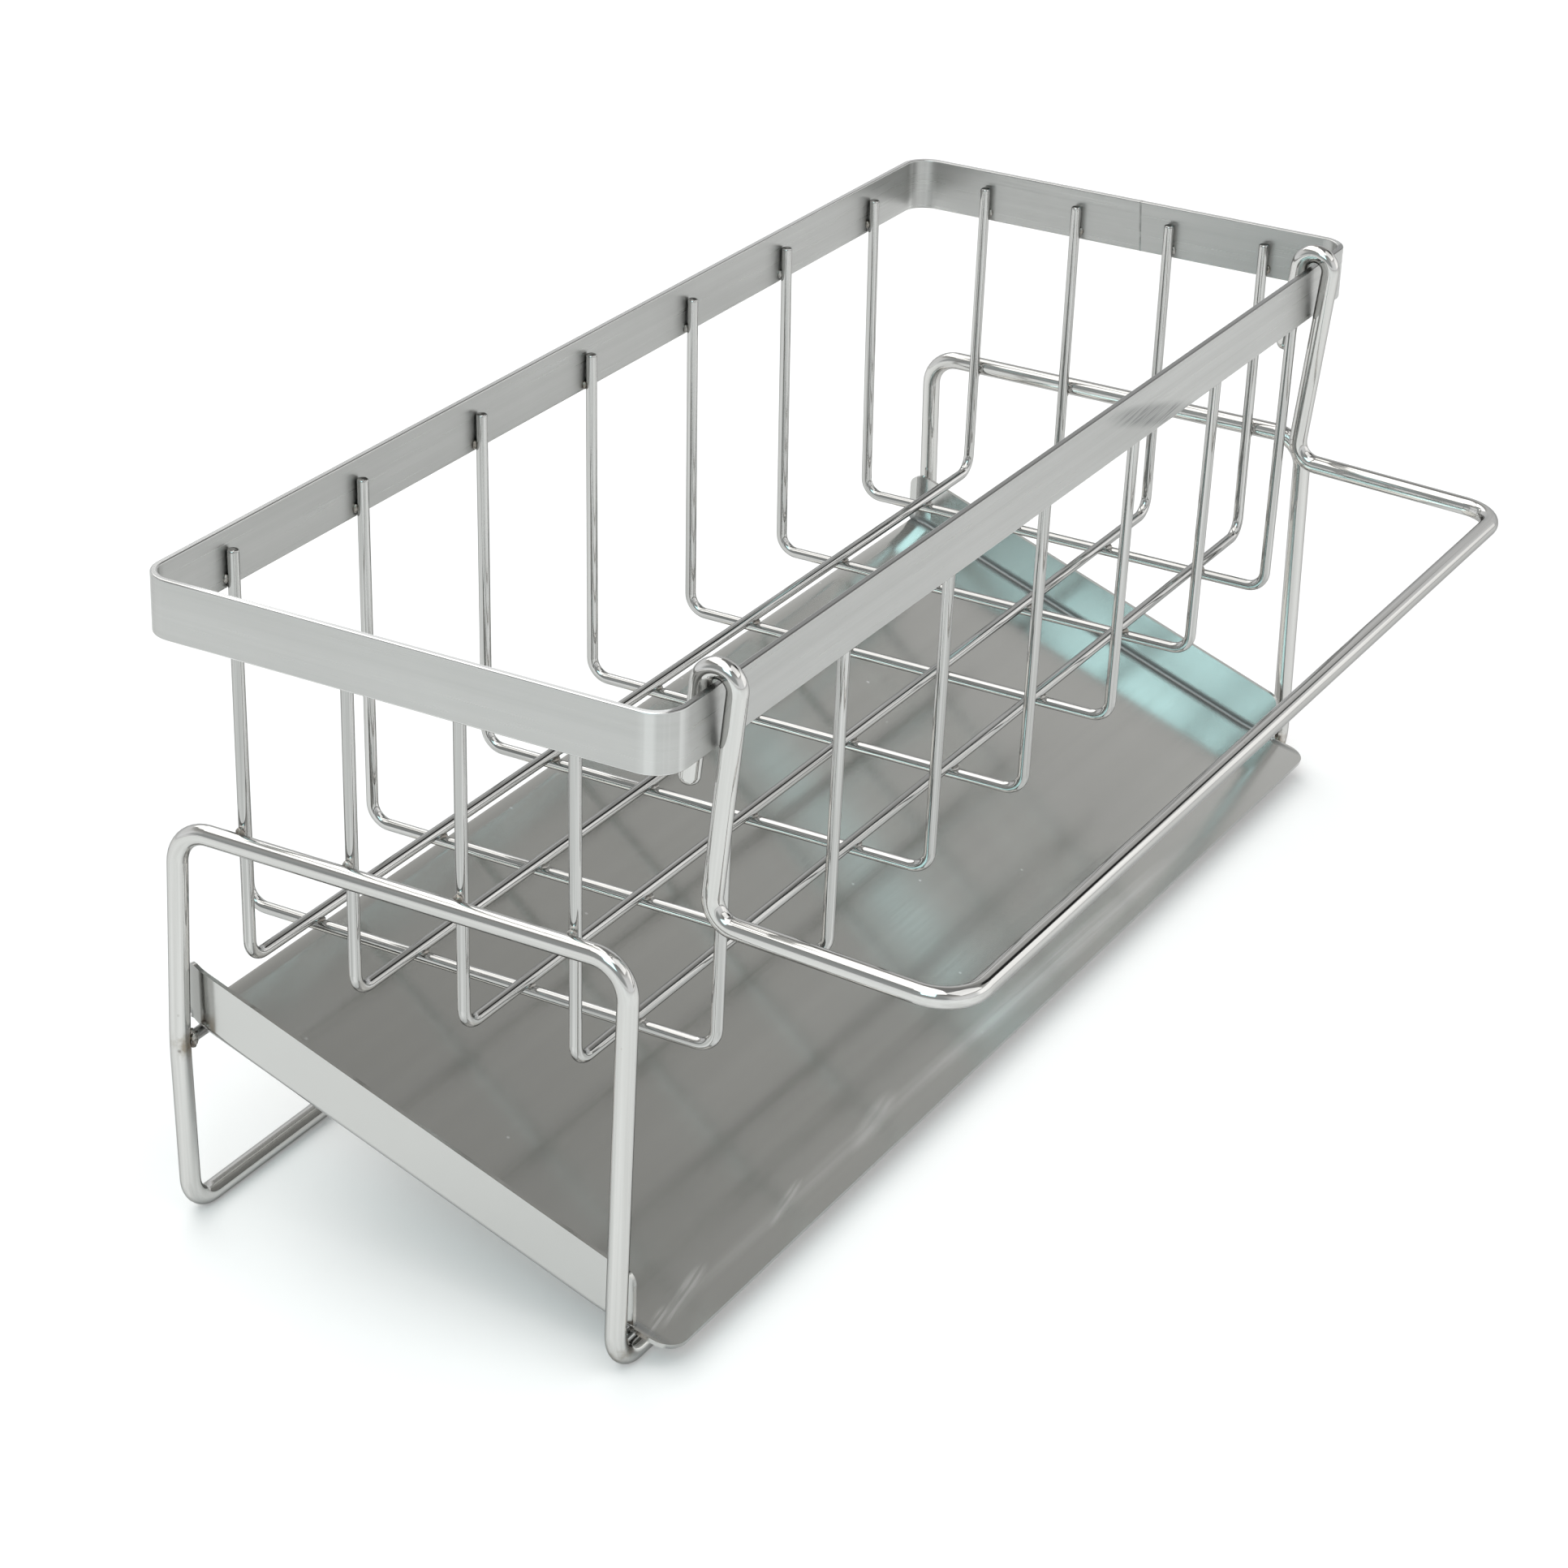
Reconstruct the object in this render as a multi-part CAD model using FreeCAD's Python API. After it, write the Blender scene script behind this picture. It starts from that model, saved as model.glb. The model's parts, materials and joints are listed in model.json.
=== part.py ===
"""Wire sponge holder: a welded basket on a bent-wire base, a slide-out drain tray and a hook-on cloth rail.

Millimetres. X runs along the length, -Y is the front, +Z is up. The origin is the middle of the base,
at the height of the counter that the floor rails stand on.
"""
import FreeCAD
import Part
import math
import os

Vector = FreeCAD.Vector
X_AXIS = Vector(1, 0, 0)
Z_AXIS = Vector(0, 0, 1)

# Rim band: a flat strip bent into a rounded rectangle and butt welded
rim_end_margin = 21.5
rim_side_margin = 17.0
rim_top_height = 112.0
rim_strip_width = 10.0
rim_strip_thickness = 1.2
rim_corner_radius = 5.5
rim_edge_round = 0.3

# Basket wires, bent into a U and spot welded inside the band and to each other
wire_dia = 2.0
wire_bend_radius = 3.5
wire_end_drop = 3.2
wire_end_round = 0.4
wall_lean = 1.0
basket_floor_height = 46.0
cross_wire_count = 7
cross_wire_pitch = 35.0
long_wire_count = 4
long_wire_pitch = 20.0
weld_gap = 0.03

# Base frame: one closed loop of thicker wire, with an arch at each end and two floor rails
frame_dia = 3.4
arch_height = 72.4
leg_inset = 6.0
arch_bend_radius = 6.0
floor_bend_radius = 5.5
back_leg_knee = 1.4
knee_bend_radius = 60.0
front_leg_splay = 2.5

# Rods that carry the tray, between the legs
rod_dia = 2.0
rod_inset = 0.6
back_rod_drop = 13.1
front_rod_gap = 0.1

# Drain tray: folded sheet that slopes to the front
tray_side_clearance = 0.16
tray_thickness = 0.8
tray_flange_height = 10.2
tray_fold_radius = 0.6
tray_corner_radius = 7.5
tray_corner_reach = 4.7
tray_corner_turn = 1.6
tray_edge_reach = 0.1
tray_edge_roll_radius = 10.0
tray_edge_roll_angle = 12.0
tray_edge_end = 0.2
tray_flange_front = 0.6
tray_flange_front_radius = 2.5
tray_flange_back_radius = 2.0
tray_bend_inset = 6.0
tray_bend_sag = 0.6
tray_bend_radius = 30.0
tray_lip_reach = 7.7
tray_lip_corner_radius = 4.0
tray_rod_clearance = 0.3

# Cloth rail: one bent wire that hooks over the front of the rim band
rail_dia = 3.4
rail_wire_gap = 2.8
rail_offset = -1.8
rail_drop = 38.0
rail_reach = 41.8
rail_tip_length = 17.0
rail_tip_round = 1.4
rail_leg_bend_radius = 4.2
rail_corner_radius = 7.0
rail_tilt = 5.5
rail_opening_angle = 2.7
hook_clearance = 0.2
hook_play = 0.1

NEAR = 1e-4

# Sizes that follow from the driving dimensions
cross_wire_spread = (cross_wire_count - 1) * cross_wire_pitch
long_wire_spread = (long_wire_count - 1) * long_wire_pitch
rim_length = cross_wire_spread + 2 * rim_end_margin
rim_width = long_wire_spread + 2 * rim_side_margin
rim_bottom_height = rim_top_height - rim_strip_width
wire_radius = wire_dia / 2
frame_radius = frame_dia / 2
rail_radius = rail_dia / 2
rod_radius = rod_dia / 2
wire_top = rim_top_height - wire_end_drop
cross_floor = basket_floor_height + wire_radius
long_floor = cross_floor + wire_dia + weld_gap
wall_inset = rim_strip_thickness + wire_radius + weld_gap
cross_wall = rim_width / 2 - wall_inset
long_wall = rim_length / 2 - wall_inset
floor_rail_height = frame_radius
arch_bar_height = arch_height - frame_radius
leg_y = rim_width / 2 - leg_inset
rod_y = leg_y - rod_inset
back_rod = Vector(0, rod_y, basket_floor_height - back_rod_drop)
front_rod = Vector(0, -rod_y, frame_dia + front_rod_gap + rod_radius)

# Arch bars lie just outside the leaning walls of the long wires, and the tray fits between the arches
lean_share = (wire_top - arch_bar_height) / (wire_top - long_floor)
arch_x = long_wall - wall_lean * lean_share + wire_radius + weld_gap + frame_radius
tray_width = 2 * (arch_x - frame_radius - tray_side_clearance)
tray_height = back_rod.z + tray_flange_height
tray_front = -leg_y - tray_flange_front
tray_back = leg_y + tray_corner_reach
tray_flange_back = (tray_back - tray_corner_radius
                    + math.sqrt(tray_corner_turn * (2 * tray_corner_radius - tray_corner_turn)))


def slope_axes(slope):
    """Uphill direction and upward normal of a plane that rises to the back."""
    return Vector(0, math.cos(slope), math.sin(slope)), Vector(0, -math.sin(slope), math.cos(slope))


# Tray planes: the sheet is bent just behind the front rod, so that its floor lies over the back rod and
# its flatter lip over the front rod
rod_standoff = rod_radius + tray_rod_clearance
rods_uphill, rods_normal = slope_axes(math.atan2(back_rod.z - front_rod.z, back_rod.y - front_rod.y))
tray_bend = front_rod + rods_normal * (rod_standoff - tray_bend_sag) + rods_uphill * tray_bend_inset
bend_to_back = back_rod - tray_bend
front_to_bend = tray_bend - front_rod
floor_slope = math.atan2(bend_to_back.z, bend_to_back.y) + math.asin(rod_standoff / bend_to_back.Length)
lip_slope = math.atan2(front_to_bend.z, front_to_bend.y) - math.asin(rod_standoff / front_to_bend.Length)
floor_uphill, floor_normal = slope_axes(floor_slope)
lip_uphill, lip_normal = slope_axes(lip_slope)
back_seat = back_rod + floor_normal * rod_standoff
tray_length = (back_seat - tray_bend).Length


def bent_path(points, radii):
    """Straight runs through the points, joined by a tangent arc of the given radius at each inner point."""
    edges = []
    run_start = points[0]
    for before, corner, after, radius in zip(points, points[1:], points[2:], radii):
        incoming = (corner - before).normalize()
        outgoing = (after - corner).normalize()
        half_turn = incoming.getAngle(outgoing) / 2
        setback = radius * math.tan(half_turn)
        arc_start = corner - incoming * setback
        arc_end = corner + outgoing * setback
        inward = (outgoing - incoming).normalize()
        arc_middle = corner + inward * (radius / math.cos(half_turn) - radius)
        if (arc_start - run_start).Length > NEAR:
            edges.append(Part.LineSegment(run_start, arc_start).toShape())
        edges.append(Part.Arc(arc_start, arc_middle, arc_end).toShape())
        run_start = arc_end
    edges.append(Part.LineSegment(run_start, points[-1]).toShape())
    return Part.Wire(edges)


def bent_wire(points, radii, dia):
    """Round wire swept along a bent path."""
    section = Part.Wire([Part.makeCircle(dia / 2, points[0], points[1] - points[0])])
    return bent_path(points, radii).makePipeShell([section], True, False)


def round_ends(wire, ends, radius):
    """Take the sharp edge off the cut ends of a wire."""
    edges = [edge for edge in wire.Edges if any((edge.CenterOfMass - end).Length < NEAR for end in ends)]
    return wire.makeFillet(radius, edges).Solids[0]


def centred(count, pitch):
    """Evenly spaced places about zero."""
    return [(index - (count - 1) / 2) * pitch for index in range(count)]


def rounded_rectangle(length, width, radius, height):
    """Face of a rectangle with round corners, centred on the origin at a height."""
    half_length = length / 2
    half_width = width / 2
    corners = [(1, 1), (-1, 1), (-1, -1), (1, -1)]
    points = [Vector(sx * half_length, sy * half_width, height) for sx, sy in corners]
    side_middle = Vector(half_length, 0, height)
    path = bent_path([side_middle] + points + [side_middle], [radius] * len(points))
    return Part.Face(path)


def make_rim_band():
    """Flat strip round the mouth of the basket, with its long edges slightly rounded."""
    outer = rounded_rectangle(rim_length, rim_width, rim_corner_radius, rim_bottom_height)
    inner = rounded_rectangle(rim_length - 2 * rim_strip_thickness, rim_width - 2 * rim_strip_thickness,
                              rim_corner_radius - rim_strip_thickness, rim_bottom_height)
    band = outer.cut(inner).extrude(Z_AXIS * rim_strip_width)
    rim_levels = (rim_bottom_height, rim_top_height)
    long_edges = [edge for edge in band.Edges
                  if any(abs(edge.BoundBox.ZMin - level) + abs(edge.BoundBox.ZMax - level) < NEAR
                         for level in rim_levels)]
    return band.makeFillet(rim_edge_round, long_edges).Solids[0]


def make_basket_wire(along, place, wall, floor):
    """U of wire: two walls that lean in towards the floor, across or along the basket."""
    profile = [(-wall, wire_top), (-(wall - wall_lean), floor), (wall - wall_lean, floor), (wall, wire_top)]
    if along == "y":
        points = [Vector(place, across, height) for across, height in profile]
    else:
        points = [Vector(across, place, height) for across, height in profile]
    wire = bent_wire(points, [wire_bend_radius] * 2, wire_dia)
    return round_ends(wire, [points[0], points[-1]], wire_end_round)


def make_base_frame(dia):
    """Closed loop of wire, swept as two mirrored halves that meet at the middle of the floor rails."""
    half = [Vector(0, leg_y, floor_rail_height),
            Vector(-arch_x, leg_y, floor_rail_height),
            Vector(-arch_x - back_leg_knee, leg_y, back_rod.z),
            Vector(-arch_x, leg_y, arch_bar_height),
            Vector(-arch_x, -leg_y, arch_bar_height),
            Vector(-arch_x - front_leg_splay, -leg_y, floor_rail_height),
            Vector(0, -leg_y, floor_rail_height)]
    radii = [floor_bend_radius, knee_bend_radius, arch_bend_radius, arch_bend_radius, floor_bend_radius]
    near_half = bent_wire(half, radii, dia)
    far_half = near_half.mirror(Vector(0, 0, 0), X_AXIS)
    return near_half.fuse(far_half).removeSplitter().Solids[0]


def make_tray_rod(place, leg_x):
    """Straight rod whose ends are cut to sit against the legs."""
    rod = Part.makeCylinder(rod_radius, 2 * leg_x, place - X_AXIS * leg_x, X_AXIS)
    against_legs = rod.cut(make_base_frame(frame_dia + 2 * weld_gap))
    return max(against_legs.Solids, key=lambda solid: solid.Volume)


def front_leg_x_at(height):
    """Distance of the front legs' axis from the middle, inside the bend that leads to the floor rail."""
    below_bend = max(0.0, floor_rail_height + floor_bend_radius - height)
    return arch_x + front_leg_splay - floor_bend_radius + math.sqrt(floor_bend_radius ** 2 - below_bend ** 2)


def sheet_strip(profile, radii, width):
    """Flat sheet of the tray's thickness, swept along a bent underside profile that lies at x = 0."""
    start = profile[0]
    run = (profile[1] - start).normalize()
    upward = run.cross(X_AXIS)
    if upward.z < 0:
        upward = -upward
    side = X_AXIS * (width / 2)
    lift = upward * tray_thickness
    section = Part.makePolygon([start - side, start + side, start + side + lift, start - side + lift, start - side])
    return bent_path(profile, radii).makePipeShell([section], True, False)


def tray_profile(inset, reach):
    """Side profile of the sheet's underside, or of its upper face when inset by the thickness."""
    half_turn = (floor_slope - lip_slope) / 2
    bend = tray_bend + (floor_normal + lip_normal).normalize() * (inset / math.cos(half_turn))
    points = [bend - lip_uphill * reach, bend, bend + floor_uphill * reach]
    return bent_path(points, [tray_bend_radius - inset])


def tray_blank(inset):
    """Upright block with round corners and a rounded bottom edge, standing on the bent profile of the sheet."""
    spare = 2 * tray_corner_radius
    block_back = tray_back - inset
    block_front = tray_front - spare
    plan = rounded_rectangle(tray_width - 2 * inset, block_back - block_front, tray_corner_radius - inset, 0)
    plan.translate(Vector(0, (block_back + block_front) / 2, -tray_height))
    block = plan.extrude(Z_AXIS * 3 * tray_height)

    profile = tray_profile(inset, 2 * tray_length)
    front_end = profile.Vertexes[0].Point
    back_end = profile.Vertexes[-1].Point
    above = Z_AXIS * 3 * tray_height
    sides = Part.makePolygon([back_end, back_end + above, front_end + above, front_end])
    side_face = Part.Face(Part.Wire(profile.Edges + sides.Edges))
    side_face.translate(X_AXIS * -tray_width)
    block = block.common(side_face.extrude(X_AXIS * 2 * tray_width))

    underside = profile.translated(X_AXIS * -tray_width).extrude(X_AXIS * 2 * tray_width)
    fold_edges = [edge for edge in block.Edges
                  if underside.distToShape(Part.Vertex(edge.CenterOfMass))[0] < NEAR
                  and abs(edge.CenterOfMass.x) > NEAR]
    return block.makeFillet(tray_fold_radius + tray_thickness - inset, fold_edges).Solids[0]


def floor_point(along, above):
    """Point on the tray's middle plane, uphill from the back rod's seat and above the floor's underside."""
    return back_seat + floor_uphill * along + floor_normal * above


def flange_top(y):
    """Point at the top of the side flanges, which run parallel to the floor."""
    level = floor_point(0, tray_flange_height)
    return level + floor_uphill * ((y - level.y) / math.cos(floor_slope))


def on_slope(shape, origin, slope):
    """Turn a shape from level to a slope that rises to the back, and move it to a point."""
    shape.Placement = FreeCAD.Placement(origin, FreeCAD.Rotation(X_AXIS, math.degrees(slope)))
    return shape


def make_drain_tray():
    """Sheet tray: side flanges that turn in at the back, a back edge eased down and a lip past the front legs."""
    pan = tray_blank(0).cut(tray_blank(tray_thickness))

    # Side flanges: upright ends with rounded top corners
    below = Z_AXIS * tray_height
    front_top = flange_top(tray_front)
    back_top = flange_top(tray_flange_back)
    flange_edge = bent_path([front_top - below, front_top, back_top, back_top - below],
                            [tray_flange_front_radius, tray_flange_back_radius])
    bottom = Part.makePolygon([back_top - below, front_top - below])
    side = Part.Face(Part.Wire(flange_edge.Edges + bottom.Edges))
    side.translate(X_AXIS * -tray_width)
    pan = pan.common(side.extrude(X_AXIS * 2 * tray_width))

    # The back wall is left out between the two corners that turn in
    edge_width = tray_width - 2 * tray_corner_turn
    back_gap = Part.makeBox(edge_width, 2 * tray_corner_radius, 2 * tray_height,
                            Vector(-edge_width / 2, 0, -tray_height))
    pan = pan.cut(on_slope(back_gap, floor_point(-rod_radius, 0), floor_slope))

    # Back edge, eased down behind the rod
    roll = math.radians(tray_edge_roll_angle)
    setback = (tray_edge_roll_radius + tray_thickness) * math.tan(roll / 2)
    corner = tray_edge_reach + setback
    tail = setback + tray_edge_end
    roll_end = floor_point(corner + tail * math.cos(roll), -tail * math.sin(roll))
    rolled_edge = sheet_strip([floor_point(-rod_radius, 0), floor_point(corner, 0), roll_end],
                              [tray_edge_roll_radius], edge_width)

    # Front lip with rounded corners, on the flatter run past the bend
    lip_front = (tray_bend.y + leg_y + tray_lip_reach) / math.cos(lip_slope)
    lip_back = (tray_bend.y - tray_front) / math.cos(lip_slope) - tray_thickness
    lip = Part.makeBox(tray_width, lip_front - lip_back, tray_thickness, Vector(-tray_width / 2, -lip_front, 0))
    lip_corners = [edge for edge in lip.Edges
                   if abs(edge.CenterOfMass.y + lip_front) < NEAR and edge.BoundBox.ZLength > NEAR]
    lip = lip.makeFillet(tray_lip_corner_radius, lip_corners)
    return pan.fuse([rolled_edge, on_slope(lip, tray_bend, lip_slope)]).removeSplitter().Solids[0]


def make_cloth_rail():
    """Bent wire that hangs from two hooks and leans against the band's lower edge under its own weight."""
    tilt = math.radians(rail_tilt)
    opening = math.radians(rail_opening_angle)
    forward = Vector(0, -math.cos(tilt), -math.sin(tilt))
    upward = Vector(0, -math.sin(tilt), math.cos(tilt))
    band_grip = (rim_strip_thickness * math.cos(tilt) + rim_strip_width * math.sin(tilt)) / 2
    hook_inner_radius = band_grip + hook_clearance + hook_play
    hook_radius = hook_inner_radius + rail_radius
    seat_depth = math.sqrt((hook_inner_radius - hook_clearance) ** 2 - band_grip ** 2)
    band_inner_top = Vector(rail_offset, rim_strip_thickness - rim_width / 2, rim_top_height)
    hook_centre = band_inner_top + forward * band_grip - upward * seat_depth

    half = [(-hook_radius, -rail_tip_length), (-hook_radius, hook_radius), (hook_radius, hook_radius),
            (hook_radius, -rail_drop), (hook_radius + rail_reach, rail_reach * math.tan(opening) - rail_drop)]
    half_radii = [hook_radius, hook_radius, rail_leg_bend_radius, rail_corner_radius]
    to_hook = X_AXIS * (cross_wire_spread / 2 + wire_radius + rail_wire_gap + rail_radius)
    near = [hook_centre - to_hook + forward * ahead + upward * above for ahead, above in half]
    far = [hook_centre + to_hook + forward * ahead + upward * above for ahead, above in half]
    points = near + far[::-1]
    rail = bent_wire(points, half_radii + half_radii[::-1], rail_dia)
    return round_ends(rail, [points[0], points[-1]], rail_tip_round)


def make_parts():
    """Every piece of the holder, by node name."""
    parts = {"rim_band": make_rim_band()}
    for number, place in enumerate(centred(cross_wire_count, cross_wire_pitch), start=1):
        parts["cross_wire_%d" % number] = make_basket_wire("y", place, cross_wall, cross_floor)
    for number, place in enumerate(centred(long_wire_count, long_wire_pitch), start=1):
        parts["long_wire_%d" % number] = make_basket_wire("x", place, long_wall, long_floor)
    parts["base_frame"] = make_base_frame(frame_dia)
    parts["back_tray_rod"] = make_tray_rod(back_rod, arch_x + back_leg_knee)
    parts["front_tray_rod"] = make_tray_rod(front_rod, front_leg_x_at(front_rod.z))
    parts["drain_tray"] = make_drain_tray()
    parts["cloth_rail"] = make_cloth_rail()
    return parts


os.makedirs("parts", exist_ok=True)
for node, shape in make_parts().items():
    shape.exportStep("parts/%s.step" % node)
    print(node, shape.ShapeType, "valid" if shape.isValid() else "NOT VALID", round(shape.Volume, 1))
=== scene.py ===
# %% [markdown]
# A sponge holder in stainless steel. The shapes come from a CAD model that is already packed: a flat band round
# the mouth of a wire basket, a bent-wire base, a sheet tray that slopes to the front and a rail for a cloth.
# This script loads those pieces and gives them their finish: brushed band, drawn wire, satin sheet, and the welds.
# Blender works in metres here, so one millimetre is 0.001, and the front of the holder faces -Y.

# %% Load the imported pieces
import json
import math

import bmesh
import bpy
from mathutils import Matrix, Vector, noise

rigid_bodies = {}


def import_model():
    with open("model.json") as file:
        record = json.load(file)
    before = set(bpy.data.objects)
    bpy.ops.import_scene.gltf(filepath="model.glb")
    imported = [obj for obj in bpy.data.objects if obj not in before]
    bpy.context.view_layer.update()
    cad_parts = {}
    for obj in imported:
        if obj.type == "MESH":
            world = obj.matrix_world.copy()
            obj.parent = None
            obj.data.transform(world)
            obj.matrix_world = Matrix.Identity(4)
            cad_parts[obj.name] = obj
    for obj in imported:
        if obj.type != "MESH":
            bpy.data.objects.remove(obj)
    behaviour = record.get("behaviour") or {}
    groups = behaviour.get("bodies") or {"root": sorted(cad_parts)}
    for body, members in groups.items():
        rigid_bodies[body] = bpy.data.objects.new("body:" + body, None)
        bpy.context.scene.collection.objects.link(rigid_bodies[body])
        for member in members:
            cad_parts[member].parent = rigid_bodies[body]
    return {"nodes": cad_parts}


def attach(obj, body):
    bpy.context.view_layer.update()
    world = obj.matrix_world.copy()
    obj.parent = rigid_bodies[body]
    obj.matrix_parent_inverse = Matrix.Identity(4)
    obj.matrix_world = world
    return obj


MM = 0.001

for leftover in list(bpy.data.objects):
    bpy.data.objects.remove(leftover)
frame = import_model()
nodes = frame["nodes"]
scene = bpy.context.scene
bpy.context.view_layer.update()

# %% [markdown]
# The camera stands at the left end of the holder, in front of it and above it, and looks along its length. It is
# easiest to think of it as three turns: round the object (azimuth), up (elevation), and a slight lean of the
# picture (roll). A camera could also be aimed with a constraint, but three angles can be set one by one. A long lens
# keeps the far end from shrinking too much.

# %% Camera
camera_place = Vector((-0.5643, -0.3042, 0.3538))
camera_azimuth = math.radians(-61.42)
camera_elevation = math.radians(26.34)
camera_roll = math.radians(2.01)
camera_lens = 91.74
camera_sensor = 36
nearest_seen = 0.01

backward = Vector((math.sin(camera_azimuth) * math.cos(camera_elevation),
                   -math.cos(camera_azimuth) * math.cos(camera_elevation),
                   math.sin(camera_elevation)))
level_right = Vector((math.cos(camera_azimuth), math.sin(camera_azimuth), 0))
level_up = backward.cross(level_right)
right = level_right * math.cos(camera_roll) + level_up * math.sin(camera_roll)
up = backward.cross(right)

camera_data = bpy.data.cameras.new("camera")
camera_data.lens = camera_lens
camera_data.sensor_width = camera_sensor
camera_data.sensor_fit = "HORIZONTAL"
camera_data.clip_start = nearest_seen
camera = bpy.data.objects.new("camera", camera_data)
scene.collection.objects.link(camera)
turn = Matrix((right, up, backward)).transposed().to_4x4()
camera.matrix_world = Matrix.Translation(camera_place) @ turn
scene.camera = camera
print("camera", [round(v, 3) for v in camera_place], "looks", [round(-v, 3) for v in backward])

# %% [markdown]
# Materials are trees of small nodes. They can be drawn by hand in the editor, but in a script it pays to have a few
# helpers. One feeds an input socket, with a plain value or with the output of another node, and one places a node and
# feeds its inputs. The others are the nodes that come up all the time: sums, ranges, mixed colours and the parts of
# a vector.

# %% Helpers for node trees
def join(tree, value, target):
    """Feed an input socket: link the output of a node to it, or set a plain value on it."""
    if isinstance(value, bpy.types.NodeSocket):
        tree.links.new(value, target)
    else:
        target.default_value = value


def put(tree, kind, inputs=None, **settings):
    """Place a node, with settings such as its operation, and feed its input sockets."""
    made = tree.nodes.new(kind)
    for setting, value in settings.items():
        setattr(made, setting, value)
    for socket, value in (inputs or {}).items():
        join(tree, value, made.inputs[socket])
    return made


def work_out(tree, operation, *values):
    """Math node on one or two values."""
    return put(tree, "ShaderNodeMath", dict(enumerate(values)), operation=operation).outputs["Value"]


def work_out_vector(tree, operation, *vectors):
    """Math node on vectors. Lengths, distances and dot products come out as a value, all else as a vector."""
    made = put(tree, "ShaderNodeVectorMath", dict(enumerate(vectors)), operation=operation)
    return made.outputs["Value" if operation in ("LENGTH", "DISTANCE", "DOT_PRODUCT") else "Vector"]


def both_of(tree, first, second):
    """Mask of what two masks have in common."""
    return work_out(tree, "MULTIPLY", first, second)


def spread(tree, value, low, high, to_low, to_high, smooth=False):
    """Map a value from one range to another, and stop at the ends."""
    ramp = put(tree, "ShaderNodeMapRange",
               {"Value": value, "From Min": low, "From Max": high, "To Min": to_low, "To Max": to_high},
               interpolation_type="SMOOTHSTEP" if smooth else "LINEAR")
    return ramp.outputs["Result"]


def between(tree, mask, low, high):
    """Value that goes from low to high as a mask goes from 0 to 1."""
    return spread(tree, mask, 0, 1, low, high)


def mix_colour(tree, factor, first, second):
    """Mix two colours, each a colour or the output of a node, by a factor that varies over the surface."""
    mixer = put(tree, "ShaderNodeMix", {"Factor": factor}, data_type="RGBA")
    colour_sockets = [s for s in mixer.inputs if s.type == "RGBA"]
    for socket, colour in zip(colour_sockets, (first, second)):
        join(tree, colour if isinstance(colour, bpy.types.NodeSocket) else (*colour, 1), socket)
    return [s for s in mixer.outputs if s.type == "RGBA"][0]


def parts_of(tree, vector):
    """X, Y and Z of a vector, by name."""
    return put(tree, "ShaderNodeSeparateXYZ", {0: vector}).outputs


print("node helpers ready")

# %% [markdown]
# The holder stands on a white table that runs on as far as the camera sees. A plain plane would do, but polished
# wire shows the table as much as the camera does, so its material adds a little light of its own for the camera's
# rays and for reflections. The soft shadow under the holder stays, because only that little is added to it.

# %% Table
table_half = 4.0
table_white = (0.88, 0.88, 0.88)
table_lift = 0.13

table_mesh = bpy.data.meshes.new("table")
table_corners = [(x * table_half, y * table_half, 0) for x, y in ((-1, -1), (1, -1), (1, 1), (-1, 1))]
table_mesh.from_pydata(table_corners, [], [(0, 1, 2, 3)])
table = bpy.data.objects.new("table", table_mesh)
scene.collection.objects.link(table)

table_look = bpy.data.materials.new("table_white")
table_look.use_nodes = True
tree = table_look.node_tree
tree.nodes.clear()
paint = put(tree, "ShaderNodeBsdfDiffuse", {"Color": (*table_white, 1)})
ray = put(tree, "ShaderNodeLightPath").outputs
seen = work_out(tree, "MAXIMUM", ray["Is Camera Ray"], ray["Is Glossy Ray"])
seen = work_out(tree, "MAXIMUM", seen, ray["Is Transmission Ray"])
glow = put(tree, "ShaderNodeEmission", {"Color": (1, 1, 1, 1), "Strength": between(tree, seen, 0, table_lift)})
paint_and_glow = put(tree, "ShaderNodeAddShader", {0: paint.outputs[0], 1: glow.outputs[0]})
put(tree, "ShaderNodeOutputMaterial", {"Surface": paint_and_glow.outputs[0]})
table_mesh.materials.append(table_look)
print("table", 2 * table_half, "m wide")

# %% [markdown]
# Bright metal has hardly any colour of its own: it shows the room. A picture of a studio could be wrapped round the
# scene, but a few ramps over the directions of the room can be set just where the metal needs them. Low down the room
# is white, higher up it falls off to grey, and the left end is greyer. Past the far end hangs a dark cloth, with a
# lit white screen below it and in front of it: they give the long wires and the rail a dark line with a bright one
# beside it.

# %% Room
room_by_height = ((0.10, (0.97, 0.985, 1.0)), (0.46, (0.90, 0.905, 0.91)), (0.56, (0.55, 0.55, 0.54)),
                  (0.64, (0.44, 0.44, 0.43)), (0.72, (0.33, 0.33, 0.32)), (0.80, (0.26, 0.26, 0.26)))
# Each thing in the room has a tone, and edges: an axis, where along it the tone starts and where it is full
left_end = (0.40, 0.42, 0.42)
left_edges = (("X", -0.45, -0.75), ("Z", 0.06, 0.14))
dark_cloth = (0.02, 0.02, 0.02)
cloth_edges = (("X", 0.2, 0.4), ("Y", -0.40, -0.38), ("Y", -0.02, -0.16), ("Z", 0.46, 0.49), ("Z", 0.74, 0.68))
white_screen = (1.45, 1.45, 1.44)
screen_edges = (("X", 0.2, 0.4), ("Y", -0.38, -0.40), ("Z", 0.00, 0.03), ("Z", 0.49, 0.46))
room_things = ((left_end, left_edges), (dark_cloth, cloth_edges), (white_screen, screen_edges))

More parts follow.
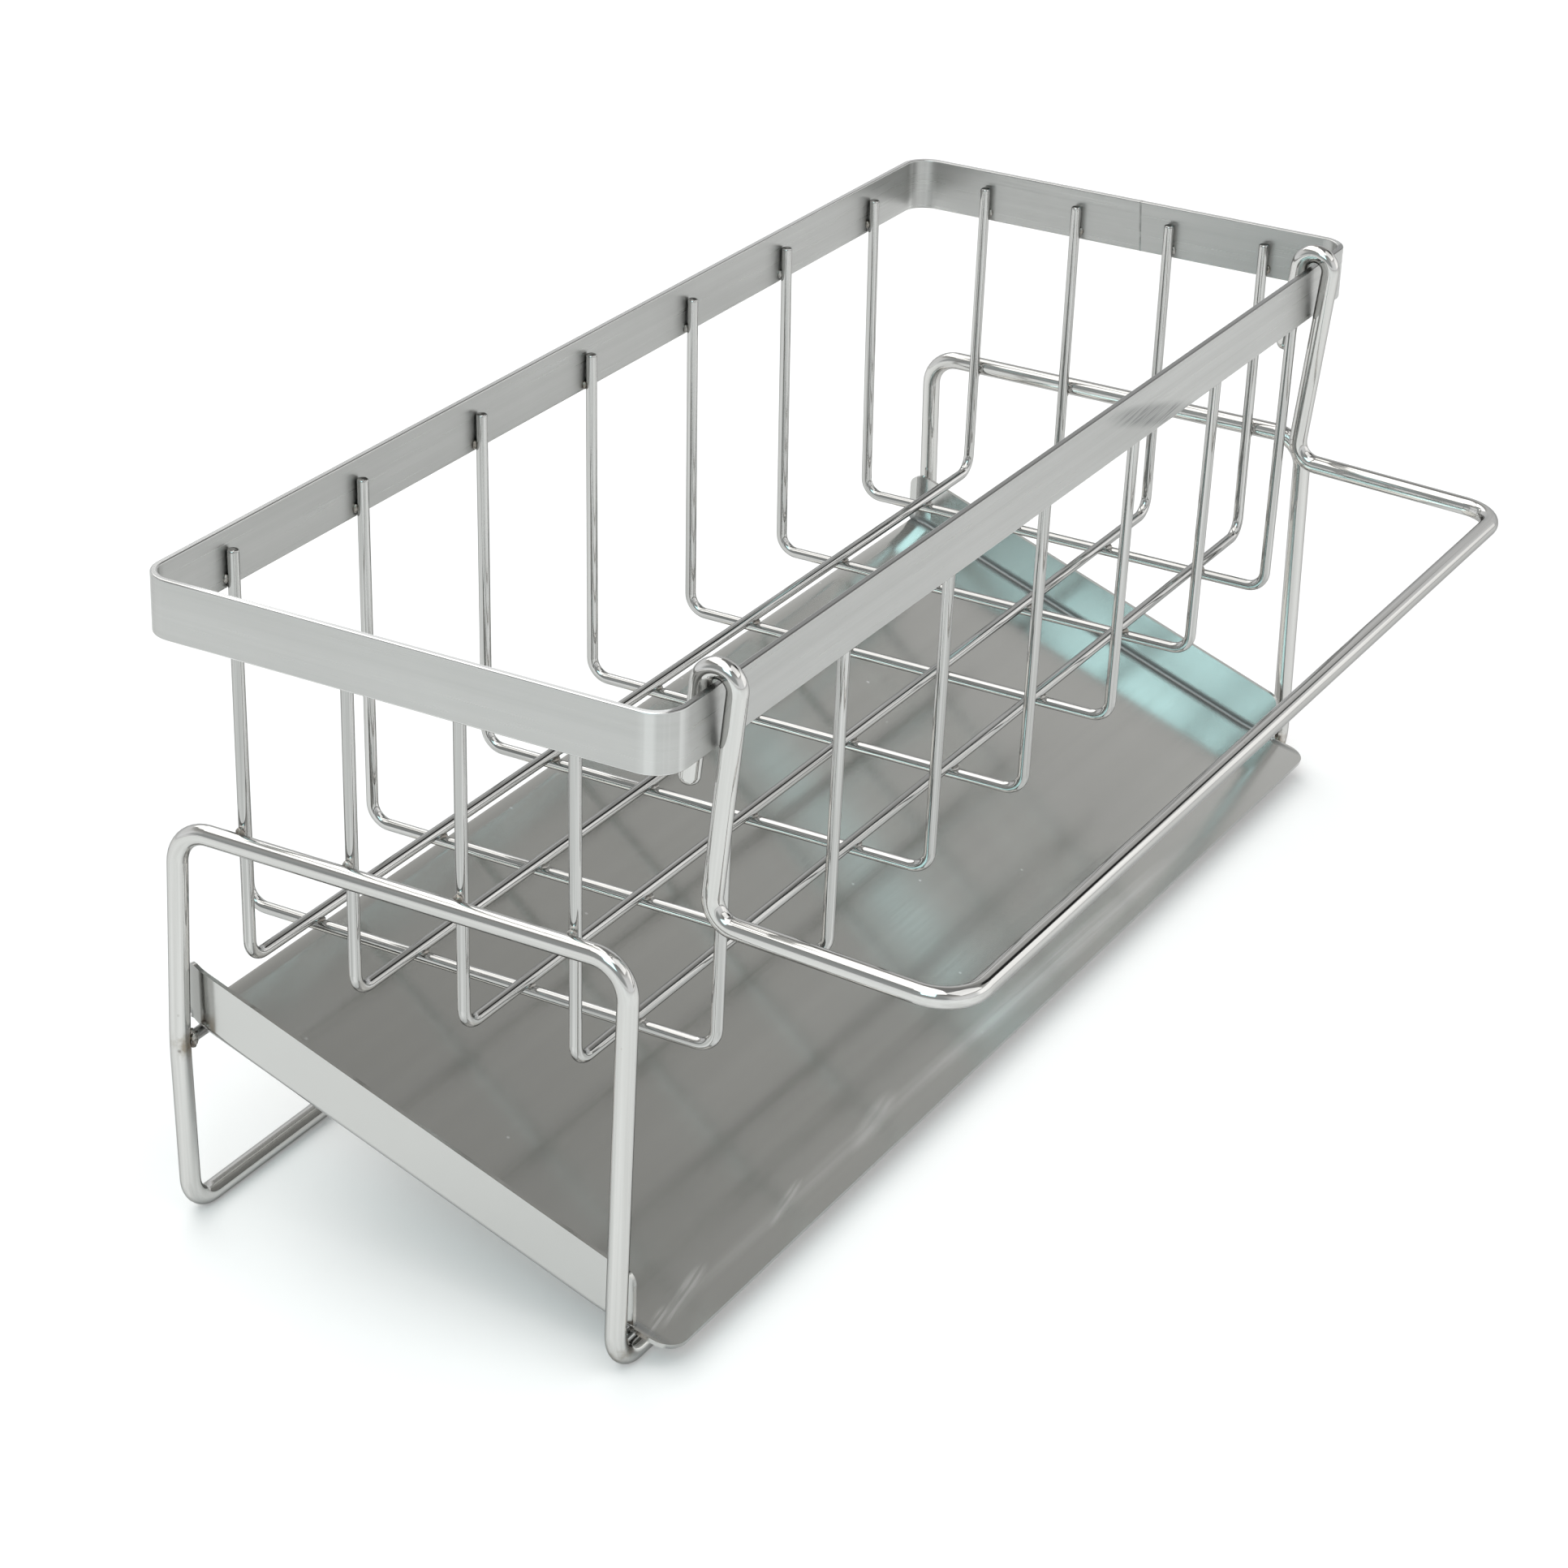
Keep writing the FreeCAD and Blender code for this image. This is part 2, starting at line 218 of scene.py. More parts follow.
world = bpy.data.worlds.new("studio")
world.use_nodes = True
scene.world = world
tree = world.node_tree
tree.nodes.clear()
direction = parts_of(tree, put(tree, "ShaderNodeTexCoord").outputs["Generated"])
height_ramp = put(tree, "ShaderNodeValToRGB", {"Fac": direction["Z"]})
stops = height_ramp.color_ramp.elements
while len(stops) < len(room_by_height):
    stops.new(1.0)
for stop, (height, tone) in zip(stops, room_by_height):
    stop.position = height
    stop.color = (*tone, 1)
room = height_ramp.outputs["Color"]
for tone, edges in room_things:
    inside = 1.0
    for axis, none_at, full_at in edges:
        inside = both_of(tree, inside, spread(tree, direction[axis], none_at, full_at, 0, 1, smooth=True))
    room = mix_colour(tree, inside, room, tone)
sky = put(tree, "ShaderNodeBackground", {"Color": room, "Strength": 1.0})
put(tree, "ShaderNodeOutputWorld", {"Surface": sky.outputs[0]})
print("room with", len(room_things), "things in it")

# %% [markdown]
# One large soft lamp hangs overhead, a little behind the holder. A weaker one stands behind the far end, one in front
# opens up the shadows, and a small one with a cool green shade stands at the left. Area lamps are chosen because
# their broad light gives soft shadows and broad reflections, as the boxes in a studio do. The view transform Standard
# shows colours as they are written.

# %% Lamps
def soft_lamp(name, place, aim, width, depth, watts, colour):
    """Rectangular lamp that looks from one point at another."""
    lamp_data = bpy.data.lights.new(name, "AREA")
    lamp_data.shape = "RECTANGLE"
    lamp_data.size = width
    lamp_data.size_y = depth
    lamp_data.energy = watts
    lamp_data.color = colour
    lamp = bpy.data.objects.new(name, lamp_data)
    scene.collection.objects.link(lamp)
    lamp.location = place
    lamp.rotation_euler = (Vector(aim) - Vector(place)).to_track_quat("-Z", "Y").to_euler()
    return lamp


# Name, place, the point it looks at, width, depth, watts, colour
lamps = [soft_lamp("overhead_lamp", (-0.36, 0.40, 2.0), (0, 0, 0.05), 3.0, 1.7, 28.0, (1.0, 0.99, 0.97)),
         soft_lamp("back_lamp", (0.95, 1.40, 1.55), (0, 0, 0.08), 1.2, 0.9, 7.0, (1.0, 1.0, 1.0)),
         soft_lamp("front_lamp", (0.25, -1.25, 1.80), (0.05, 0, 0.05), 1.8, 1.4, 8.0, (1.0, 1.0, 1.0)),
         soft_lamp("left_lamp", (-1.14, -0.22, 0.96), (0.1, 0, 0.03), 0.6, 0.6, 2.8, (0.57, 0.95, 1.0))]
scene.view_settings.view_transform = "Standard"
print("lamps:", [lamp.name for lamp in lamps])

# %% [markdown]
# Brushed and drawn metal both show fine lines, so one node group makes them for every material. Real scratches could
# be modelled, but they are far too fine: noise that is squeezed across the lines looks the same. The coordinates that
# a material hands in do the squeezing. Two sizes of line come out: hair lines and broader streaks.

# %% Node group: fine lines
noise_low, noise_high = 0.3, 0.7


def new_group(name, vectors, values, outputs):
    """Empty node group: vector inputs, value inputs with what they start at, and outputs, which are all masks."""
    group = bpy.data.node_groups.new(name, "ShaderNodeTree")
    for socket in vectors:
        group.interface.new_socket(socket, in_out="INPUT", socket_type="NodeSocketVector")
    for socket, start in values.items():
        group.interface.new_socket(socket, in_out="INPUT", socket_type="NodeSocketFloat").default_value = start
    for socket in outputs:
        group.interface.new_socket(socket, in_out="OUTPUT", socket_type="NodeSocketFloat")
    return group, put(group, "NodeGroupInput").outputs, put(group, "NodeGroupOutput").inputs


def noise_mask(tree, inputs):
    """Noise from 0 to 1. Plain noise hardly ever leaves the middle of that range, so it is spread."""
    texture = put(tree, "ShaderNodeTexNoise", inputs)
    return spread(tree, texture.outputs["Fac"], noise_low, noise_high, 0, 1)


fine_lines, given, result = new_group("fine_lines", ["Coords"], {"Hair scale": 1.0, "Streak scale": 0.15},
                                      ["Hair", "Streaks"])
for line, scale, detail, roughness in (("Hair", "Hair scale", 2.0, 0.5), ("Streaks", "Streak scale", 3.0, 0.55)):
    mask = noise_mask(fine_lines, {"Vector": given["Coords"], "Scale": given[scale],
                                   "Detail": detail, "Roughness": roughness})
    join(fine_lines, mask, result[line])
print("group", fine_lines.name)

# %% [markdown]
# Handled steel is never quite even. This group gives soft clouds, where hands and cloths have gone over the metal,
# and a sparse scatter of tiny specks. The clouds are plain noise. The specks are the middles of small cells, and only
# the few cells that draw a high number show theirs.

# %% Node group: handling marks
speck_share = 0.10
speck_radius = 0.10

handling, given, result = new_group("handling_marks", ["Coords"], {"Cloud scale": 25.0, "Speck scale": 260.0},
                                    ["Clouds", "Specks"])
clouds = noise_mask(handling, {"Vector": given["Coords"], "Scale": given["Cloud scale"],
                               "Detail": 4.0, "Roughness": 0.55, "Distortion": 0.4})
join(handling, clouds, result["Clouds"])
cell = put(handling, "ShaderNodeTexVoronoi",
           {"Vector": given["Coords"], "Scale": given["Speck scale"], "Randomness": 1.0}, feature="F1").outputs
number = put(handling, "ShaderNodeSeparateColor", {0: cell["Color"]}).outputs[0]
shown = spread(handling, number, 1 - speck_share, 1.01 - speck_share, 0, 1)
dot = spread(handling, cell["Distance"], speck_radius, speck_radius / 2, 0, 1)
join(handling, both_of(handling, shown, dot), result["Specks"])
print("group", handling.name)

# %% [markdown]
# Welding leaves the steel near the joint a little brown. It could be painted on an image, but the places are known,
# so the group measures how far a point of the surface is from a given place. It fades a mask out over a given reach,
# with some noise so that its edge isn't a perfect ball.

# %% Node group: heat mark
heat_ragged = 0.35
heat_full = 0.3

heat_mark, given, result = new_group("heat_mark", ["Coords", "Place"], {"Reach": 0.003}, ["Mask"])
away = work_out_vector(heat_mark, "DISTANCE", given["Coords"], given["Place"])
share = work_out(heat_mark, "DIVIDE", away, given["Reach"])
ragged = put(heat_mark, "ShaderNodeTexNoise", {"Vector": given["Coords"], "Scale": 900.0, "Detail": 2.0})
share = work_out(heat_mark, "ADD", share, between(heat_mark, ragged.outputs["Fac"], -heat_ragged, heat_ragged))
join(heat_mark, spread(heat_mark, share, 1.0, heat_full, 0, 1, smooth=True), result["Mask"])
print("group", heat_mark.name)

# %% [markdown]
# Here and there someone has rubbed the metal in one spot, with a polishing wheel or a gritty cloth, and the same kind
# of patch also serves for painted highlights. The group makes a patch that fades out from a given place: its reach is
# the half length each way. The patch is drawn in fine lines, which have a direction of their own, and a share of it
# can be solid.

# %% Node group: rubbed patch and painted highlight
patch_full = 0.4
streak_from, streak_full = 0.45, 0.62

rub_and_highlight, given, result = new_group(
    "rubbed_patch_and_highlight", ["Coords", "Place", "Reach", "Reach turn", "Lines", "Lines turn"], {"Solid": 0.0}, ["Mask"])
from_place = work_out_vector(rub_and_highlight, "SUBTRACT", given["Coords"], given["Place"])
scaled = {}
for use, operation in (("Reach", "DIVIDE"), ("Lines", "MULTIPLY")):
    turned = put(rub_and_highlight, "ShaderNodeMapping", {"Vector": from_place, "Rotation": given[use + " turn"]})
    scaled[use] = work_out_vector(rub_and_highlight, operation, turned.outputs["Vector"], given[use])
how_far = work_out_vector(rub_and_highlight, "LENGTH", scaled["Reach"])
patch = spread(rub_and_highlight, how_far, 1.0, patch_full, 0, 1, smooth=True)
streak_noise = put(rub_and_highlight, "ShaderNodeTexNoise", {"Vector": scaled["Lines"], "Scale": 1.0, "Detail": 2.0})
lines = spread(rub_and_highlight, streak_noise.outputs["Fac"], streak_from, streak_full, given["Solid"], 1)
join(rub_and_highlight, both_of(rub_and_highlight, patch, lines), result["Mask"])
print("group", rub_and_highlight.name)

# %% [markdown]
# Every finish starts the same way: a Principled shader set to metal, with a colour, a roughness and a bump that vary
# over the surface. The function sets that up and hands back the tree and the coordinates, and each finish goes on
# from there in its own cell.

# %% Start of a steel finish
def start_steel(name, anisotropy=0.0, rim_tint=(1, 1, 1)):
    """New metal material: its tree, its shader and the coordinates of the piece in metres.

    The rim tint is how much of its gloss steel keeps where the surface turns away from the eye."""
    look = bpy.data.materials.new(name)
    look.use_nodes = True
    tree = look.node_tree
    tree.nodes.clear()
    steel = put(tree, "ShaderNodeBsdfPrincipled",
                {"Metallic": 1.0, "Anisotropic": anisotropy, "Specular Tint": (*rim_tint, 1)})
    put(tree, "ShaderNodeOutputMaterial", {"Surface": steel.outputs[0]})
    coords = put(tree, "ShaderNodeTexCoord").outputs["Object"]
    return look, tree, steel, coords


def place_group(tree, group, coords, values):
    """Place a node group in a material with its own coordinates and values, and give its outputs."""
    return put(tree, "ShaderNodeGroup", {"Coords": coords, **values}, node_tree=group).outputs


def normal_of(tree):
    """Which way the surface faces."""
    return put(tree, "ShaderNodeNewGeometry").outputs["Normal"]


def stretched(tree, coords, scale):
    """Coordinates squeezed by a different amount along each axis."""
    return put(tree, "ShaderNodeMapping", {"Vector": coords, "Scale": scale}).outputs["Vector"]


def bump_from(tree, height, steel, depth, strength):
    """Small relief: depth in metres between the lowest and highest points of the height."""
    bump = put(tree, "ShaderNodeBump", {"Height": height, "Distance": depth, "Strength": strength})
    join(tree, bump.outputs["Normal"], steel.inputs["Normal"])


print("steel helpers ready")

# %% [markdown]
# The band is flat strip with a satin finish, brushed along its length before it was bent. Its surface could be
# unwrapped to run the lines along it, but lines that are long in X and Y and very thin in Z run along all four sides
# as they are. Soft clouds dull it a little where it is held.

# %% Finish: brushed band
band_dark, band_light = (0.46, 0.46, 0.45), (0.50, 0.50, 0.49)
band_handled, band_handled_share = (0.42, 0.42, 0.41), 0.35

band_look, tree, steel, coords = start_steel("brushed_band", anisotropy=0.45)
lines = place_group(tree, fine_lines, stretched(tree, coords, (35, 35, 5200)),
                    {"Hair scale": 1.0, "Streak scale": 0.12})
marks = place_group(tree, handling, coords, {"Cloud scale": 32.0})
colour = mix_colour(tree, lines["Streaks"], band_dark, band_light)
colour = mix_colour(tree, between(tree, marks["Clouds"], 0, band_handled_share), colour, band_handled)
bump_from(tree, lines["Hair"], steel, depth=0.02 * MM, strength=0.25)
print("finish", band_look.name)

# %% [markdown]
# The four corners of the band get painted reflections: light and dark lines up and down them, standing in for the
# room reflected in the curved corners. Only there does the surface normal turn from one side to the next, so noise of
# the normal makes lines there and nowhere else. On the front a patch was dressed again with a wheel, across the first
# brushing.

# %% Painted reflections in the bends, and dressed patch of the band
bend_from, bend_full = 0.05, 0.30
bend_reflection_strength = 0.6
# Painted reflection lines: where in the streaks a line starts and where it is full, and its tone
bend_reflection_tones = ((0.55, 0.80, (0.31, 0.305, 0.295)), (0.45, 0.20, (0.64, 0.64, 0.63)))
dressed_tone, dressed_strength = (0.14, 0.145, 0.145), 0.75
dressed_turn, dressed_lines_turn = math.radians(-15.4), math.radians(5)

normal = normal_of(tree)
facing = parts_of(tree, normal)
turning = work_out(tree, "ABSOLUTE", work_out(tree, "MULTIPLY", facing["X"], facing["Y"]))
in_bend = spread(tree, turning, bend_from, bend_full, 0, 1, smooth=True)
bend_reflection_lines = place_group(tree, fine_lines, normal, {"Streak scale": 1.5})
# Painted reflection: each tone is laid as lines down the corners of the band
for none_at, full_at, tone in bend_reflection_tones:
    drawn = spread(tree, bend_reflection_lines["Streaks"], none_at, full_at, 0, bend_reflection_strength)
    colour = mix_colour(tree, both_of(tree, drawn, in_bend), colour, tone)
dressed = place_group(tree, rub_and_highlight, coords, {
    "Place": Vector((38, -47, 105.2)) * MM,
    "Reach": Vector((26, 0.9, 2.7)) * MM, "Reach turn": (0, dressed_turn, 0),
    "Lines": (60, 75, 3000), "Lines turn": (0, dressed_lines_turn, 0), "Solid": 0.4})
colour = mix_colour(tree, between(tree, dressed["Mask"], 0, dressed_strength), colour, dressed_tone)
print("bend lines in", len(bend_reflection_tones), "tones, and a dressed patch")

# %% [markdown]
# The edges of the strip are broken and polished. The edges of the left run get a painted highlight, a lighter colour,
# and the top edge of the front run is made darker in colour. Place and normal pick the edges out, so that the mesh
# needs no extra materials.

# %% Edges of the band
band_middle = 107.0 * MM
edge_from, edge_full = 4.65 * MM, 4.95 * MM
left_from, left_full = -118 * MM, -124 * MM
left_back, left_ahead = 40 * MM, 32 * MM
front_from, front_full = -45.2 * MM, -45.8 * MM
up_from, up_full = 0.3, 0.7
# Painted highlight tone for the edges of the left run, and the darker tone of the front run's top edge
edge_highlight_tone, edge_highlight_strength = (0.86, 0.86, 0.85), 0.8
front_top_dark_tone, front_top_dark_strength = (0.16, 0.16, 0.155), 0.85
satin_low, satin_high = 0.27, 0.40
edge_polish = 0.12

where = parts_of(tree, coords)
from_middle = work_out(tree, "ABSOLUTE", work_out(tree, "SUBTRACT", where["Z"], band_middle))
on_edge = spread(tree, from_middle, edge_from, edge_full, 0, 1, smooth=True)
left_run = both_of(tree, spread(tree, where["X"], left_from, left_full, 0, edge_highlight_strength, smooth=True),
                   spread(tree, where["Y"], left_back, left_ahead, 0, 1, smooth=True))
# Painted highlight: the edges of the left run are made lighter
colour = mix_colour(tree, both_of(tree, on_edge, left_run), colour, edge_highlight_tone)
# The top edge of the front run is made darker in colour
front_top = both_of(tree, spread(tree, facing["Z"], up_from, up_full, 0, front_top_dark_strength, smooth=True),
                    spread(tree, where["Y"], front_from, front_full, 0, 1, smooth=True))
colour = mix_colour(tree, front_top, colour, front_top_dark_tone)
join(tree, colour, steel.inputs["Base Color"])
satin = between(tree, lines["Hair"], satin_low, satin_high)
join(tree, work_out(tree, "SUBTRACT", satin, between(tree, on_edge, 0, edge_polish)), steel.inputs["Roughness"])
print("edges of", band_look.name, "from", round(edge_from / MM, 2), "mm off its middle")

# %% [markdown]
# Wire is drawn through a die, and the die leaves lines along it. On a round wire the surface normal is the same all
# along such a line, so noise that reads the normal instead of the place gives lines that follow every bend.
# The three kinds of wire get the same recipe with their own values.

# %% Finish: drawn and polished wire
wire_rim = (0.45, 0.45, 0.45)
wire_speck, wire_speck_strength = (0.30, 0.28, 0.26), 0.5
line_drift = (6, 6, 6)
worn_times, lined_times = 1.6, 0.5


def drawn_wire(name, dark, light, polish, cloud_scale):
    """Round wire: lines along it, and a polish that is a little worn in places."""
    look, tree, steel, coords = start_steel(name, rim_tint=wire_rim)
    along = work_out_vector(tree, "MULTIPLY_ADD", coords, line_drift, normal_of(tree))
    lines = place_group(tree, fine_lines, along, {"Hair scale": 9.0, "Streak scale": 2.6})
    marks = place_group(tree, handling, coords, {"Cloud scale": cloud_scale, "Speck scale": 600.0})
    colour = mix_colour(tree, lines["Streaks"], dark, light)
    colour = mix_colour(tree, between(tree, marks["Specks"], 0, wire_speck_strength), colour, wire_speck)
    join(tree, colour, steel.inputs["Base Color"])
    worn = between(tree, marks["Clouds"], polish, worn_times * polish)
    rough = work_out(tree, "ADD", worn, between(tree, lines["Hair"], 0, lined_times * polish))
    join(tree, rough, steel.inputs["Roughness"])
    bump_from(tree, lines["Hair"], steel, depth=0.01 * MM, strength=0.05)
    return look, tree, steel, coords, colour


wire_look, wire_tree, wire_steel, wire_coords, wire_colour = drawn_wire(
    "basket_wire", (0.36, 0.36, 0.35), (0.62, 0.615, 0.605), polish=0.045, cloud_scale=60.0)
rail_look = drawn_wire("rail_wire", (0.54, 0.535, 0.52), (0.65, 0.645, 0.63), polish=0.05, cloud_scale=45.0)[0]
frame_look, frame_tree, frame_steel, frame_coords, frame_colour = drawn_wire(
    "frame_wire", (0.54, 0.535, 0.52), (0.64, 0.635, 0.62), polish=0.07, cloud_scale=45.0)
print("finishes", wire_look.name, rail_look.name, frame_look.name)

# %% [markdown]
# The basket's wires were cut with shears, so their upper ends are dark and ragged. They could be given a material of
# their own, face by face. But only those ends face straight up so high above the table, so the normal and the height
# together pick them out.

# %% Cut ends of the basket wires
cut_end_height = 104.0 * MM
cut_from, cut_full = 0.5, 0.8
torn_dark, torn_light = (0.10, 0.10, 0.095), (0.42, 0.42, 0.41)
torn_from, torn_full = 0.42, 0.58

facing_up = spread(wire_tree, parts_of(wire_tree, normal_of(wire_tree))["Z"], cut_from, cut_full, 0, 1)
high_up = spread(wire_tree, parts_of(wire_tree, wire_coords)["Z"], cut_end_height, cut_end_height + MM, 0, 1)
torn = put(wire_tree, "ShaderNodeTexNoise", {"Vector": wire_coords, "Scale": 1400.0, "Detail": 2.0})
torn_share = spread(wire_tree, torn.outputs["Fac"], torn_from, torn_full, 0, 1)
torn_colour = mix_colour(wire_tree, torn_share, torn_dark, torn_light)
wire_colour = mix_colour(wire_tree, both_of(wire_tree, facing_up, high_up), wire_colour, torn_colour)
join(wire_tree, wire_colour, wire_steel.inputs["Base Color"])
print("cut ends above", round(cut_end_height / MM), "mm")

# %% [markdown]
# The legs were heated where the rods are welded to them, and two drops of spatter stuck to the left back leg. The
# group for heat marks makes both, large and soft or small and dark. The heat marks are the same at both ends of the
# holder, so they read the distance from the middle instead of X.

# %% Heat marks on the base frame
rod_weld_places = ((126.8, 40.3, 33.0), (127.2, -40.4, 4.5))
rod_weld_reach, rod_weld_brown = 3.4 * MM, (0.30, 0.26, 0.21)
spatter_places = ((-129.4, 39.9, 38.5), (-129.4, 39.9, 32.0))
spatter_reach, spatter_dark = 0.6 * MM, (0.20, 0.18, 0.16)

where = parts_of(frame_tree, frame_coords)
from_centre = work_out(frame_tree, "ABSOLUTE", where["X"])
either_end = put(frame_tree, "ShaderNodeCombineXYZ", {"X": from_centre, "Y": where["Y"], "Z": where["Z"]}).outputs[0]
for places, measured_in, reach, tone in ((rod_weld_places, either_end, rod_weld_reach, rod_weld_brown),
                                         (spatter_places, frame_coords, spatter_reach, spatter_dark)):
    for place in places:
        mark = place_group(frame_tree, heat_mark, measured_in, {"Place": Vector(place) * MM, "Reach": reach})
        frame_colour = mix_colour(frame_tree, mark["Mask"], frame_colour, tone)
join(frame_tree, frame_colour, frame_steel.inputs["Base Color"])
print("heat marks", len(rod_weld_places), "spatter", len(spatter_places))

# %% [markdown]
# The tray is thin sheet with a dull mill finish. It shows blurred reflections of the wires above it, faint rolling
# lines along its length and here and there a speck. The same two groups as on the band make these, with lines that
# are long in X alone.

# %% Finish: satin sheet
sheet_dark, sheet_light = (0.58, 0.58, 0.557), (0.63, 0.63, 0.607)
sheet_handled, sheet_handled_share = (0.55, 0.55, 0.535), 0.4
sheet_speck = (0.85, 0.85, 0.85)

tray_look, tree, steel, coords = start_steel("satin_sheet")
lines = place_group(tree, fine_lines, stretched(tree, coords, (22, 1500, 1500)),
                    {"Hair scale": 1.0, "Streak scale": 0.10})
marks = place_group(tree, handling, coords, {"Cloud scale": 22.0, "Speck scale": 240.0})
colour = mix_colour(tree, lines["Streaks"], sheet_dark, sheet_light)
colour = mix_colour(tree, between(tree, marks["Clouds"], 0, sheet_handled_share), colour, sheet_handled)
colour = mix_colour(tree, marks["Specks"], colour, sheet_speck)
bump_from(tree, lines["Hair"], steel, depth=0.01 * MM, strength=0.04)
print("finish", tray_look.name)

# %% [markdown]
# Wiping with a gritty cloth left bundles of light lines along the lip, where the sheet lies over the front rod: four
# of them, short and leaning a little. The other two are long and faint and run along the lip: they are painted
# highlights along the bend of the lip. Each is drawn with the patch group, with its own place and lean.

# %% Wipe marks and painted highlights on the lip
wipe_and_highlight_light = (0.97, 0.97, 0.96)
wipe_height = 6.0
wipe_depth = 4.0
# Place in X and Y, half length, half width (in mm), lean in degrees, lines along and across, solid share, strength
wipes_and_highlights = ((-50, -43.4, 12, 2.3, -9, 60, 900, 0.55, 0.55), (-80, -43.4, 9, 1.1, -10, 60, 1500, 0.3, 0.6),
         (-112, -43.2, 11, 1.9, -10, 60, 1500, 0.2, 0.7), (-120, -43.3, 5, 1.2, -10, 60, 1500, 0, 0.65),
         (18, -44.9, 66, 2.6, 0.6, 14, 700, 0.5, 0.65), (-60, -43.8, 75, 1.8, 0, 14, 900, 0.5, 0.25))

# The first four rows are wipe marks; the last two are painted highlights along the bend of the lip
for x, y, half_length, half_width, lean, along, across, solid, strength in wipes_and_highlights:
    wipe_turn = (0, 0, math.radians(lean))
    wipe_and_highlight_mask = place_group(tree, rub_and_highlight, coords, {
        "Place": Vector((x, y, wipe_height)) * MM,
        "Reach": Vector((half_length, half_width, wipe_depth)) * MM, "Reach turn": wipe_turn,
        "Lines": (along, across, across), "Lines turn": wipe_turn, "Solid": solid})
    colour = mix_colour(tree, between(tree, wipe_and_highlight_mask["Mask"], 0, strength), colour, wipe_and_highlight_light)
print("wipe marks", len(wipes_and_highlights))

# %% [markdown]
# The two folds between floor and flanges get a line of painted shade in the crease.
# To find it, the material works out how far a point is from the fold, across the fold: sideways from the line of the
# fold, and up from the plane of the sloping floor.

# %% Distance from the folds of the tray
floor_slope = math.radians(19.8)
floor_rise = 19.37 * MM
fold_place = 123.6 * MM

floor_up = (0, -math.sin(floor_slope), math.cos(floor_slope))
above_floor = work_out(tree, "SUBTRACT", work_out_vector(tree, "DOT_PRODUCT", coords, floor_up), floor_rise)
where = parts_of(tree, coords)
facing = parts_of(tree, normal_of(tree))
from_centre = work_out(tree, "ABSOLUTE", where["X"])
past_fold = work_out(tree, "SUBTRACT", from_centre, fold_place)
across_fold = put(tree, "ShaderNodeCombineXYZ", {"X": past_fold, "Y": above_floor}).outputs[0]
from_fold = work_out_vector(tree, "LENGTH", across_fold)
print("folds at", round(fold_place / MM, 1), "mm from the middle")

# %% [markdown]
# Now the dark places can be laid over the sheet, each as a mask with a tone. The painted shade line in the fold is on
# the inside alone. Outside, the bend gets another line of painted shade, where the surface starts to face down. The
# left back corner gets a painted dark reflection of the leg beside it, and the sheared front edge stays dark. The
# flanges get painted shade, a darker colour than the floor. Each mask goes from none to full over a short range, so
# that no border is sharp.

# %% Painted shade in the folds, and edges of the tray
fold_full, fold_none = 0.4 * MM, 1.9 * MM
inside_full, inside_none = 123.75 * MM, 124.05 * MM
outside_none, outside_full = fold_place, fold_place + 0.2 * MM
down_none, down_full = -0.1, -0.45
back_none, back_full = 38.4 * MM, 39.2 * MM
end_none, end_full = -121.4 * MM, -122.2 * MM
ahead_none, ahead_full = -0.6, -0.85
sideways_none, sideways_full = 0.7, 0.9
flange_shade_share, under_shade_share, corner_reflection_share, front_share = 0.8, 0.75, 0.75, 0.6

# Painted shade: the flanges, the inside of the folds and the outside of the bends are darkened in colour, and the
# left back corner gets a painted dark reflection of the leg
flange_shade = spread(tree, work_out(tree, "ABSOLUTE", facing["X"]), sideways_none, sideways_full, 0, flange_shade_share)
in_fold = both_of(tree, spread(tree, from_fold, fold_full, fold_none, 1, 0, smooth=True),
                  spread(tree, from_centre, inside_full, inside_none, 1, 0))
under_fold_shade = both_of(tree, spread(tree, facing["Z"], down_none, down_full, 0, under_shade_share),
                     spread(tree, from_centre, outside_none, outside_full, 0, 1))
back_corner_reflection = both_of(tree, spread(tree, where["Y"], back_none, back_full, 0, corner_reflection_share, smooth=True),
                      spread(tree, where["X"], end_none, end_full, 0, 1))
front_edge = spread(tree, facing["Y"], ahead_none, ahead_full, 0, front_share)
dark_places = ((flange_shade, (0.53, 0.53, 0.518)), (in_fold, (0.26, 0.27, 0.27)), (under_fold_shade, (0.20, 0.20, 0.20)),
               (back_corner_reflection, (0.23, 0.23, 0.22)), (front_edge, (0.20, 0.20, 0.195)))
for mask, tone in dark_places:
    colour = mix_colour(tree, mask, colour, tone)
join(tree, colour, steel.inputs["Base Color"])
print("dark places on the tray:", len(dark_places))

# %% [markdown]
# The sheet looks dull, yet it is rather smooth, or the wires wouldn't show in it. Its rolling lines and the marks of
# handling each add a little roughness, and the folds add much more.

# %% Roughness of the tray
sheet_smooth, sheet_lined = 0.12, 0.15
handled_more = 0.04
fold_more = 0.3

rough = work_out(tree, "ADD", between(tree, lines["Hair"], sheet_smooth, sheet_lined),
                 between(tree, marks["Clouds"], 0, handled_more))
rough = work_out(tree, "ADD", rough, between(tree, in_fold, 0, fold_more))
join(tree, rough, steel.inputs["Roughness"])
print("roughness from", sheet_smooth, "to", sheet_lined + handled_more, "on the flat")

# %% [markdown]
# Weld metal is duller than the wire, and rough where it froze. Its colour goes from grey to a burnt brown. One recipe
# serves three kinds of weld: spot welds are nearly clean, the beads at the rods are burnt, and the butt weld of the
# band is ground.

# %% Finish: weld metal
burnt_fade = 0.2
weld_smooth, weld_rough = 0.24, 0.46


